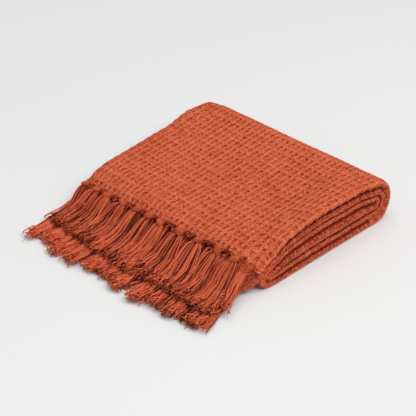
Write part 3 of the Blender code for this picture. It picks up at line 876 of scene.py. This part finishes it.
def frayed_end(tubes, line, floor, tone, fibres):
    """A small tuft of fibres where a yarn is cut."""
    end = line[-1]
    ahead = line[-1] - line[-2]
    ahead /= np.linalg.norm(ahead)
    for _ in range(fibres):
        way = ahead + rng.normal(0, FIBRE_SPREAD, 3)
        way /= np.linalg.norm(way)
        reach = rng.uniform(*FIBRE_LENGTH_MM) * MM
        curl = rng.normal(0, FIBRE_CURL_MM, 3) * MM
        t = np.array([0.0, 0.5, 1.0])[:, None]
        fibre = end + way * reach * t + curl * t ** 2
        fibre[:, 2] = np.maximum(fibre[:, 2], floor * 0.5)
        tubes.add(fibre, np.array(FIBRE_RADII_MM) * MM, tone + rng.normal(-0.02, 0.10), 3)


def stations(first, end, steps):
    """Where a yarn has its points: close together at its knot and at its cut end."""
    stops = (first, KNOT_END, NECK_END, end - HOOK_LENGTH, end)
    stretches = [np.linspace(a, b, n)[:-1] for a, b, n in zip(stops, stops[1:], steps)]
    return np.append(np.concatenate(stretches), end)


def tassel(tubes, tier, x, count, shape, reach, detail=IN_FRONT, shade=DEEP_SHADE):
    """Yarns from the cloth's edge through the knot to their cut ends.

    shape holds, at each mark along the tassel, its half width to the left and to the
    right, its half height, its lift and its sideways shift.
    """
    length = reach * tier.length(x)
    marks = np.array([*ALONG_A_TASSEL, length])
    columns = max(round(math.sqrt(count * COLUMNS_PER_LAYER)), 3)
    layers = math.ceil(count / columns)
    lean = rng.normal(0, LEAN)
    plain_tone = lerp(*tier.settings["tone"], float(side_of(x)))
    for i in range(count):
        p = ((i % columns) + 0.5) / columns * 2 - 1 + rng.normal(0, COLUMN_STRAY)
        q = (i // columns + 0.5) / layers * 2 - 1 + rng.normal(0, LAYER_STRAY)
        end = length + rng.uniform(*CUT_UNEVEN_MM) * MM
        first = -(TAIL_MM[0] + TAIL_MM[1] * abs(p)) * MM - rng.uniform(*TAIL_UNEVEN_MM) * MM
        run = stations(first, end, detail["steps"])
        wide = smooth_steps(run, marks, shape["left" if p < 0 else "right"])
        high = smooth_steps(run, marks, shape["high"]) * math.sqrt(max(1.0 - 0.7 * p * p, 0.2))
        lift = smooth_steps(run, marks, shape["lift"])
        shift = smooth_steps(run, marks, shape["shift"])
        free = ease((run - FREE_FROM) / FREE_OVER)
        late = ease((run - LATE_FROM * end) / (LATE_OVER * end))
        hook = np.clip((run - end + HOOK_LENGTH) / HOOK_LENGTH, 0.0, 1.0)
        turn_by, hook_size = rng.uniform(*HOOK_TURN), rng.uniform(*HOOK_SIZE_MM) * MM
        way = rng.uniform(0, FULL_TURN)
        hook_across = hook_size * (1.0 - np.cos(turn_by * hook)) * math.cos(way)
        hook_up = hook_size * (np.sin(turn_by * hook) + 1.2 * hook) * max(math.sin(way), -0.3)
        phase = rng.uniform(0, FULL_TURN, 3)
        wave = swing(FINE_WAVE, run, phase[0]) + swing(SLOW_WAVE, run, phase[1])
        bob = swing(BOB, run, phase[2])
        stray = rng.normal(0, FREE_STRAY) * free + rng.normal(0, LATE_STRAY) * late
        sideways = shift + wide * p + (wave + lean) * free + stray + hook_across
        rise = abs(rng.normal(0, LATE_RISE)) * late
        up = lift + high * q + bob * free + rise + hook_up
        run = run - hook_size * hook * (0.5 + 0.5 * np.sin(turn_by * hook + way))
        line = tier.at(x, run, sideways, up)
        # Painted light and shade: upper layers and free ends lighter, lower layers darker; some
        # yarns painted in deep shade, the rest a little lit; the tops behind painted darker
        tone = plain_tone + rng.normal(0, TONE_STRAY) + LAYER_LIGHT_AND_SHADE * q + LATE_PAINTED_LIGHT * late
        tone = tone + (-shade if rng.random() < SHADED_YARNS else LIT_YARN)
        past_top = ease((run - TOP_SHADE_FADE[0]) / TOP_SHADE_FADE[1])
        tone = tone - detail["painted_top_shade"] * (1.0 - past_top)
        tone = tone + rng.normal(0, HOOK_TONE) * hook
        radius = YARN_RADIUS * rng.uniform(*RADIUS_UNEVEN) * detail["thicker"]
        tubes.add(line, radius * (1.0 - HOOK_TAPER * hook), tone, detail["sides"])
        frayed_end(tubes, line, tier.settings["floor"], tone[-1], detail["fibres"])


def knot(tubes, tier, x, at, size, lift):
    """An overhand knot: a round heart with tilted turns of yarn wound over it."""
    half_width, half_height, half_length = size
    tilt = rng.choice([-1.0, 1.0]) * rng.uniform(0.4, 0.9)
    along = np.linspace(-1, 1, 7)
    level = np.full(len(along), lift)
    heart = tier.at(x, at + half_length * 0.95 * along, np.zeros(len(along)), level)
    heart_radii = (half_height - HEART_INSET) * np.sqrt(np.maximum(1 - along ** 2, 0.02))
    # The heart is painted dark, as shade under the turns
    tubes.add(heart, heart_radii, HEART_PAINTED_SHADE, 8)
    a = np.linspace(0.2, 2 * math.pi + 0.2, 15)
    for i in range(KNOT_TURNS):
        u = (i + 0.5) / KNOT_TURNS * 2 - 1
        belly = math.sqrt(max(1 - (0.85 * u) ** 2, 0.1)) * rng.uniform(0.94, 1.05)
        wide = half_width * belly * np.cos(a)
        high = lift + half_height * belly * np.sin(a)
        run = at + half_length * 0.85 * u + tilt * half_length * 0.6 * np.cos(a)
        line = tier.at(x, run, wide, high)
        tubes.add(line, KNOT_YARN_RADIUS, KNOT_TONE + rng.normal(0, 0.07), 6)


def gathered(tubes, tier, knots):
    """Warp ends that run from the cloth's edge into the nearest knot."""
    t = np.linspace(0, 1, 7)
    before, past = GATHER_PAST_KNOTS
    for x in np.arange(knots[0] - before, knots[-1] + past, GATHER_PITCH):
        x = x + rng.normal(0, 0.5 * MM)
        nearest = min(knots, key=lambda k: abs(k - x))
        inward = (nearest - x) * rng.uniform(0.55, 0.85)
        run = (-7.5 + rng.uniform(9, 12) * t) * MM
        bow = rng.normal(0, 0.9 * MM) * np.sin(math.pi * t)
        lift = (GATHER_LIFT_MM[0] + GATHER_LIFT_MM[1] * t) * MM
        line = tier.at(x, run, inward * ease(t) + bow, lift)
        tubes.add(line, THIN_YARN_RADIUS, 0.42 + rng.normal(0, 0.16))


def tangle(tubes, tier, low, high, count, reach=TANGLE_REACH):
    """Loose yarns looping about where no knot holds them."""
    t = np.linspace(0, 1, 18)
    for _ in range(count):
        x = rng.uniform(low, high)
        size = rng.uniform(1.4, 0.1 * reach / MM + 2.2) * MM
        turns, phase = rng.uniform(0.3, 0.6 + 0.045 * reach / MM), rng.uniform(0, FULL_TURN)
        start, travel = rng.uniform(-5, 0.2 * reach / MM) * MM, rng.uniform(0.3, 1.0) * reach
        turned = FULL_TURN * turns * t + phase
        run = start + travel * t + size * np.sin(turned)
        wide = -rng.uniform(0, 7) * MM * t + size * np.cos(turned)
        lift = (2.2 + rng.uniform(0, 3.2) * np.sin(math.pi * t)) * MM
        tubes.add(tier.at(x, run, wide, lift), THIN_YARN_RADIUS, 0.5 + rng.normal(0, 0.15))


def tassel_shape(left, right, high, lift, shift=0.0, shift_by=0.0):
    """A tassel's form at each mark; high and lift are in millimetres."""
    return {
        "left": np.array(left),
        "right": np.array(right),
        "high": np.array(high) * MM,
        "lift": np.array(lift) * MM,
        "shift": np.zeros(len(left)) + np.array(shift) * shift_by,
    }


def front_shape(left, right, top, full, settings, shift_by):
    """left and right: half the way to the next knots; top: lift at the cloth's edge."""
    spread, tip_spread = settings["spread"]
    wide = np.array(FRONT_SLIM) + full * np.array(FRONT_FULLER)
    wide[3] *= spread
    halves = [
        [FRONT_EDGE_SHARE * half, *FRONT_NECK, *wide * half, tip_spread * half]
        for half in (left, right)
    ]
    return tassel_shape(*halves, FRONT_HIGH_MM, (top / MM, *FRONT_LIFT_MM), FIRST_SHIFT, shift_by)


def back_shape():
    half = np.array(BACK_WIDE_MM) * MM
    return tassel_shape(half, half, BACK_HIGH_MM, BACK_LIFT_MM)


def loose_shape(shift_by):
    """Yarns past the last knot, not drawn together, leaning outwards."""
    half = LOOSE_HALF * np.array(LOOSE_WIDE)
    return tassel_shape(half, half, LOOSE_HIGH_MM, LOOSE_LIFT_MM, LOOSE_SHIFT, shift_by)


def finish_fringe(tubes, name, solid, material):
    obj = tubes.build(name, material)
    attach(obj, "root")
    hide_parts(solid)


def front_row(tubes, tier, knots, top):
    """The front tassels with their knots, and the loose bunch past the last one."""
    settings = tier.settings
    edges = [knots[0] - BEFORE_FIRST_KNOT] + list(knots) + [knots[-1] + PAST_LAST_KNOT]
    for i, x in enumerate(knots):
        left, right = (x - edges[i]) / 2, (edges[i + 2] - x) / 2
        count = round(FRONT_YARNS * (left + right) / TASSEL_PITCH)
        reach, shift_by = rng.uniform(*settings["reach"]), 0.0
        if i == 0:
            reach, shift_by = settings["first"]
        shape = front_shape(left, right, top, FULLNESS[i], settings, shift_by)
        tassel(tubes, tier, x, count, shape, reach)
        sizes = (KNOT_WIDTH_MM, KNOT_HEIGHT_MM, KNOT_LENGTH_MM)
        size = np.array([rng.uniform(*limits) for limits in sizes]) * MM
        knot(tubes, tier, x, rng.uniform(*KNOT_AT_MM) * MM, size, rng.uniform(*KNOT_LIFT_MM) * MM)
    gathered(tubes, tier, knots)
    beyond, count, reach, shift_by = settings["loose"]
    x = knots[-1] + beyond
    tassel(tubes, tier, x, count, loose_shape(shift_by), reach, shade=LOOSE_SHADE)


def back_row(tubes, tier):
    """Three small tassels behind each front one."""
    settings = tier.settings
    slot = TASSEL_PITCH / 3
    first = settings["middle"] - TASSEL_PITCH * TASSELS_PER_PLY / 2 + slot / 2
    for i in range(3 * TASSELS_PER_PLY):
        x = first + i * slot + rng.normal(0, 1.0 * MM)
        reach = rng.uniform(*settings["behind"])
        tassel(tubes, tier, x, BACK_YARNS, back_shape(), reach, detail=BEHIND)


def build_fringe(solid, settings, row, knots, material, top):
    """All tassels of one end of the sheet, as yarns: the front row, then those behind."""
    tier = Tier(settings, row)
    front, back = Tubes(), Tubes()
    front_row(front, tier, knots, top)
    if solid == "fringe_upper":
        at_open_side, at_closed_folds, between = TANGLES
        tangle(front, tier, knots[-1] + 6 * MM, knots[-1] + PAST_LAST_KNOT, at_closed_folds)
        tangle(front, tier, knots[0] - 4 * MM, knots[0] + 2 * MM, at_open_side)
        for x, following in zip(knots, knots[1:]):
            low, high = x + 4 * MM, following - 4 * MM
            tangle(front, tier, low, high, between, SMALL_TANGLE_REACH)
    back_row(back, tier)
    finish_fringe(front, "yarns_front_" + solid[7:], solid, material)
    finish_fringe(back, "yarns_back_" + solid[7:], solid, material)


# ---------------------------------------------------------------- materials

CLOTH_STOPS = (
    (0.0, (0.150, 0.012, 0.003, 1.0)),
    (0.30, (0.390, 0.054, 0.016, 1.0)),
    (0.55, (0.525, 0.092, 0.036, 1.0)),
    (1.0, (0.74, 0.178, 0.086, 1.0)),
)
YARN_STOPS = (
    (0.0, (0.072, 0.0055, 0.0017, 1.0)),
    (0.30, (0.285, 0.036, 0.011, 1.0)),
    (0.55, (0.42, 0.065, 0.023, 1.0)),
    (1.0, (0.69, 0.135, 0.058, 1.0)),
)
SLOW_SHARE = 0.34
TWIST_SHARE = 0.8


def add_node(tree, kind, inputs, **settings):
    """A new node with its settings, and values for its inputs by name or number."""
    made = tree.nodes.new(kind)
    for key, value in settings.items():
        setattr(made, key, value)
    for key, value in inputs.items():
        made.inputs[key].default_value = value
    return made


def scaled_uv(tree, coordinates, scale):
    made = add_node(tree, "ShaderNodeMapping", {"Scale": scale})
    tree.links.new(coordinates.outputs["UV"], made.inputs["Vector"])
    return made.outputs["Vector"]


def add_share(tree, source, share, base):
    """base + share * source."""
    made = add_node(tree, "ShaderNodeMath", {1: share}, operation="MULTIPLY_ADD")
    tree.links.new(source, made.inputs[0])
    tree.links.new(base, made.inputs[2])
    return made.outputs[0]


def cotton(name, ramp_stops, grain_share, grain_scale, twist_scale, twist_depth):
    """Matt cotton.  The tone painted on the mesh, which holds painted light and shade among its
    changes, slow patches and fine grain pick the colour; twisted yarns are ridges in the bump."""
    material = bpy.data.materials.new(name)
    material.use_nodes = True
    tree = material.node_tree
    link = tree.links.new
    shader = tree.nodes["Principled BSDF"]
    shader.inputs["Roughness"].default_value = 0.9
    shader.inputs["Specular IOR Level"].default_value = 0.15
    shader.inputs["Sheen Weight"].default_value = 0.10
    shader.inputs["Sheen Roughness"].default_value = 0.5
    shader.inputs["Sheen Tint"].default_value = (1.0, 0.55, 0.38, 1.0)

    coordinates = add_node(tree, "ShaderNodeTexCoord", {})
    slow = add_node(tree, "ShaderNodeTexNoise", {"Scale": 26.0, "Detail": 3.0})
    link(coordinates.outputs["Object"], slow.inputs["Vector"])
    grain = add_node(tree, "ShaderNodeTexNoise", {"Scale": 1.0, "Detail": 3.0, "Roughness": 0.6})
    link(scaled_uv(tree, coordinates, grain_scale), grain.inputs["Vector"])
    tone = add_node(tree, "ShaderNodeAttribute", {}, attribute_name="tone")
    with_slow = add_share(tree, slow.outputs["Fac"], SLOW_SHARE, tone.outputs["Fac"])
    with_grain = add_share(tree, grain.outputs["Fac"], grain_share, with_slow)
    mean = SLOW_SHARE / 2 + grain_share / 2
    centred = add_node(tree, "ShaderNodeMath", {1: mean}, operation="SUBTRACT")
    link(with_grain, centred.inputs[0])
    ramp = add_node(tree, "ShaderNodeValToRGB", {})
    stops = ramp.color_ramp.elements
    while len(stops) < len(ramp_stops):
        stops.new(0.5)
    for stop, (position, colour) in zip(stops, ramp_stops):
        stop.position = position
        stop.color = colour
    link(centred.outputs[0], ramp.inputs["Fac"])
    link(ramp.outputs["Color"], shader.inputs["Base Color"])

    twist = add_node(tree, "ShaderNodeTexWave", {"Scale": 1.0, "Distortion": 1.6},
                     wave_type="BANDS", bands_direction="DIAGONAL")
    link(scaled_uv(tree, coordinates, twist_scale), twist.inputs["Vector"])
    height = add_share(tree, twist.outputs["Fac"], TWIST_SHARE, grain.outputs["Fac"])
    bump = add_node(tree, "ShaderNodeBump", {"Strength": 0.8, "Distance": twist_depth})
    link(height, bump.inputs["Height"])
    link(bump.outputs["Normal"], shader.inputs["Normal"])
    return material


def plain(name, colour, roughness):
    material = bpy.data.materials.new(name)
    material.use_nodes = True
    shader = material.node_tree.nodes["Principled BSDF"]
    shader.inputs["Base Color"].default_value = colour
    shader.inputs["Roughness"].default_value = roughness
    return material


# ---------------------------------------------------------------- stage, light, camera

FLOOR_HALF = 20.0
FLOOR_COLOUR = (0.74, 0.745, 0.745, 1)
FLOOR_ROUGHNESS = 0.9
WORLD_COLOUR = (1.0, 1.0, 0.99, 1)
WORLD_STRENGTH = 0.36

# name, azimuth and elevation in degrees, distance, size, watts, colour
LIGHTS = (
    ("key", 92, 56, 5.5, 4.0, 222, (1.0, 1.0, 0.99)),
    ("top", -60, 84, 5.0, 4.0, 78, (1.0, 1.0, 1.0)),
)

CAMERA_TARGET = Vector((14.4, -66.9, 30.0)) * MM
CAMERA_DISTANCE = 1.393
CAMERA_AZIMUTH = math.radians(45.95)
CAMERA_ELEVATION = math.radians(32.42)
CAMERA_LENS = 92.56
CAMERA_SENSOR = 36.0


def away(azimuth, elevation):
    flat = math.cos(elevation)
    return Vector((math.sin(azimuth) * flat, -math.cos(azimuth) * flat, math.sin(elevation)))


def placed(name, data, direction, location):
    """A light or camera at a place, looking back along a direction."""
    obj = bpy.data.objects.new(name, data)
    obj.location = location
    obj.rotation_euler = direction.to_track_quat("Z", "Y").to_euler()
    bpy.context.scene.collection.objects.link(obj)
    return obj


def build_stage():
    corners = ((-1, -1, 0), (1, -1, 0), (1, 1, 0), (-1, 1, 0))
    points = np.array(corners) * FLOOR_HALF
    material = plain("pale_floor", FLOOR_COLOUR, FLOOR_ROUGHNESS)
    floor = mesh_object("floor", points, np.array([[0, 1, 2, 3]]), material)
    world = bpy.data.worlds.new("studio")
    bpy.context.scene.world = world
    world.use_nodes = True
    background = world.node_tree.nodes["Background"]
    background.inputs["Color"].default_value = WORLD_COLOUR
    background.inputs["Strength"].default_value = WORLD_STRENGTH


def area_light(name, azimuth, elevation, distance, size, watts, colour):
    data = bpy.data.lights.new(name, "AREA")
    data.size = size
    data.energy = watts
    data.color = colour
    direction = away(math.radians(azimuth), math.radians(elevation))
    placed(name, data, direction, direction * distance)


def build_camera():
    data = bpy.data.cameras.new("camera")
    data.sensor_width = CAMERA_SENSOR
    data.lens = CAMERA_LENS
    back = away(CAMERA_AZIMUTH, CAMERA_ELEVATION)
    camera = placed("camera", data, back, CAMERA_TARGET + back * CAMERA_DISTANCE)
    bpy.context.scene.camera = camera


cloth_material = cotton(
    "waffle_cotton", CLOTH_STOPS, grain_share=2.1, grain_scale=(76.0, 44.0, 1.0),
    twist_scale=(22.0, 22.0, 1.0), twist_depth=0.5 * MM)
yarn_material = cotton(
    "cotton_yarn", YARN_STOPS, grain_share=1.5, grain_scale=(2.0, 8.0, 1.0),
    twist_scale=(0.6, 2.6, 1.0), twist_depth=0.35 * MM)
build_cloth(cloth_material)
build_fringe("fringe_upper", UPPER_TIER, 0, UPPER_KNOTS, yarn_material, 3.2 * MM)
build_fringe("fringe_lower", LOWER_TIER, LAST_ROW, LOWER_KNOTS, yarn_material, 2.8 * MM)
build_stage()
for light in LIGHTS:
    area_light(*light)
build_camera()
bpy.context.scene.view_settings.view_transform = "Standard"
